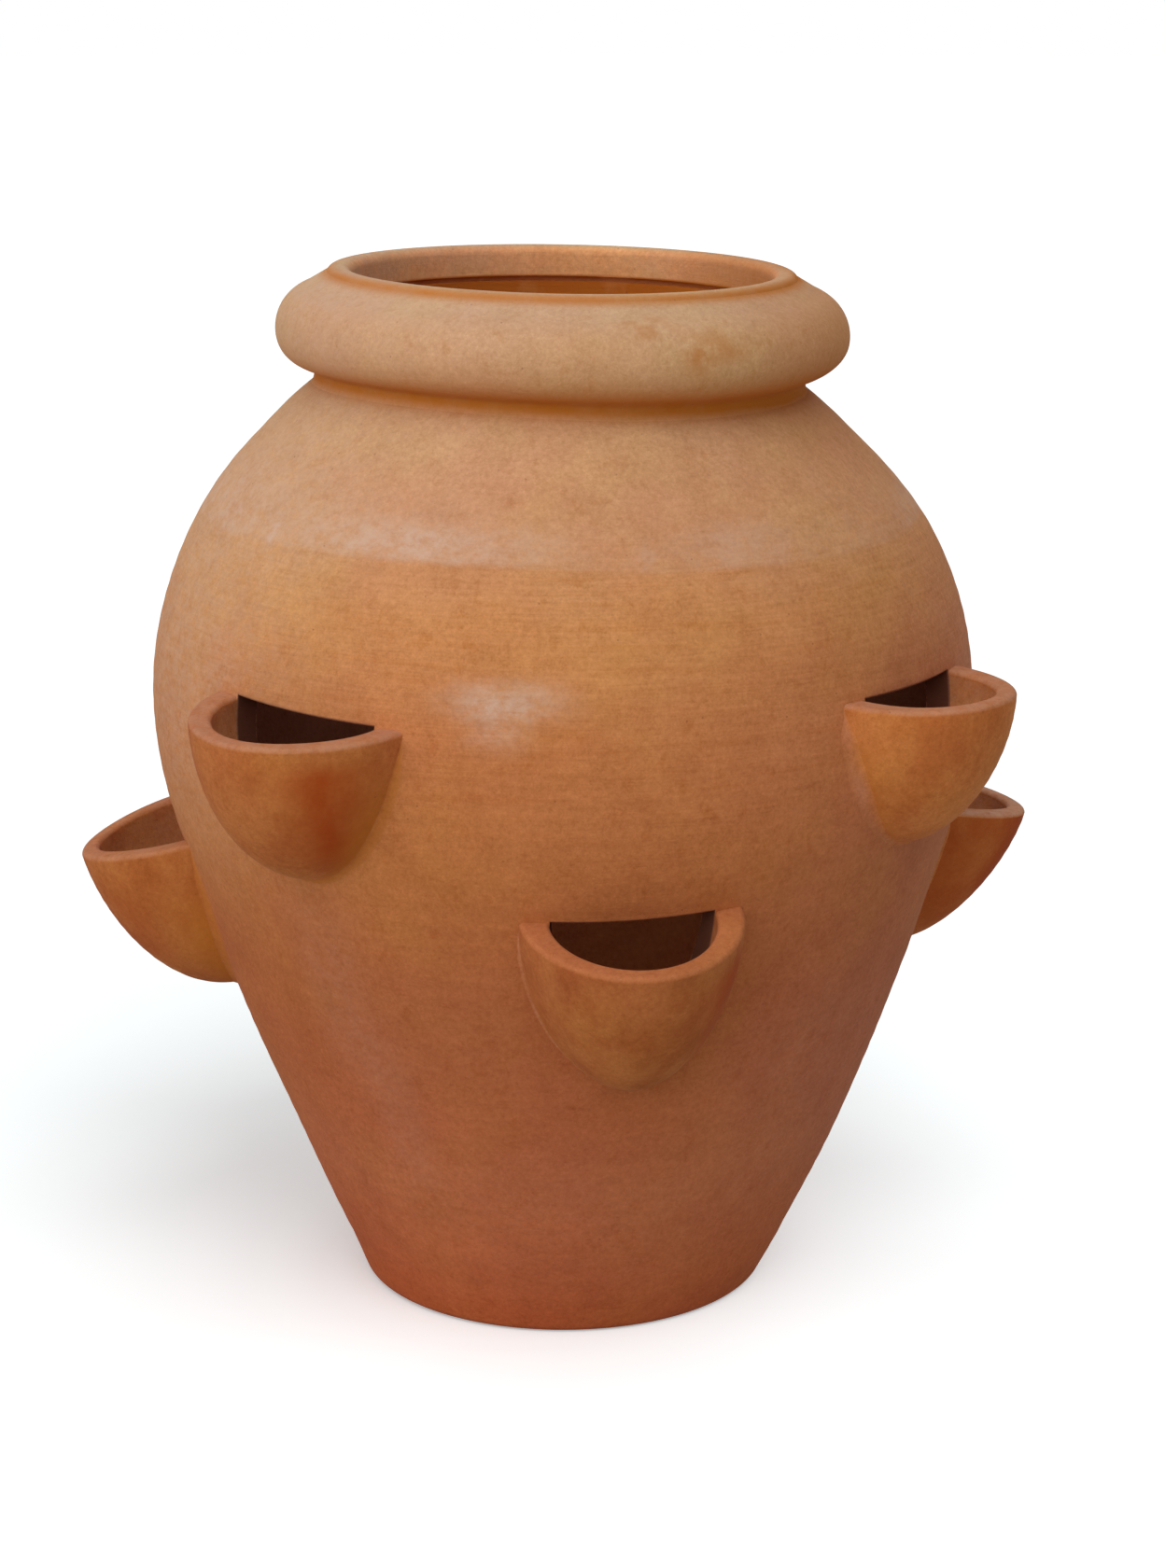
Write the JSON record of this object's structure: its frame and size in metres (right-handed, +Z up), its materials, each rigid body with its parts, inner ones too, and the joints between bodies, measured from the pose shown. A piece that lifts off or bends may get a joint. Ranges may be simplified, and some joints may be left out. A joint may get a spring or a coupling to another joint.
{
  "type": "planter",
  "caption": "Hand-thrown terracotta jar planter with a rolled collar, a raised lip and staggered tiers of half-cup planting pockets luted over windows in its wall.",
  "frame": {"origin": "on the ground under the centre of the drain hole", "axes": "+Z up along the pot's axis; the first lower pocket faces -Y"},
  "size_m": [0.5626, 0.5561, 0.6],
  "materials": {
    "clay_foot": "unglazed fired terracotta, matt",
    "clay_wall": "unglazed fired terracotta, matt",
    "clay_shoulder": "unglazed fired terracotta, matt",
    "clay_rim": "unglazed fired terracotta, matt",
    "clay_pocket": "unglazed fired terracotta, matt",
    "clay_seam": "unglazed fired terracotta, matt"
  },
  "bodies": {
    "root": {"floor_disc": "clay_foot", "wall_foot": "clay_foot", "wall_low": "clay_wall", "wall_belly": "clay_wall", "wall_shoulder": "clay_shoulder", "rim_collar": "clay_rim", "rim_lip": "clay_rim", "pocket_low_1": "clay_pocket", "pocket_low_2": "clay_pocket", "pocket_low_3": "clay_pocket", "pocket_low_4": "clay_pocket", "pocket_high_1": "clay_pocket", "pocket_high_2": "clay_pocket", "pocket_high_3": "clay_pocket", "pocket_high_4": "clay_pocket", "seam_low_1": "clay_seam", "seam_low_2": "clay_seam", "seam_low_3": "clay_seam", "seam_low_4": "clay_seam", "seam_high_1": "clay_seam", "seam_high_2": "clay_seam", "seam_high_3": "clay_seam", "seam_high_4": "clay_seam"}
  },
  "joints": []
}
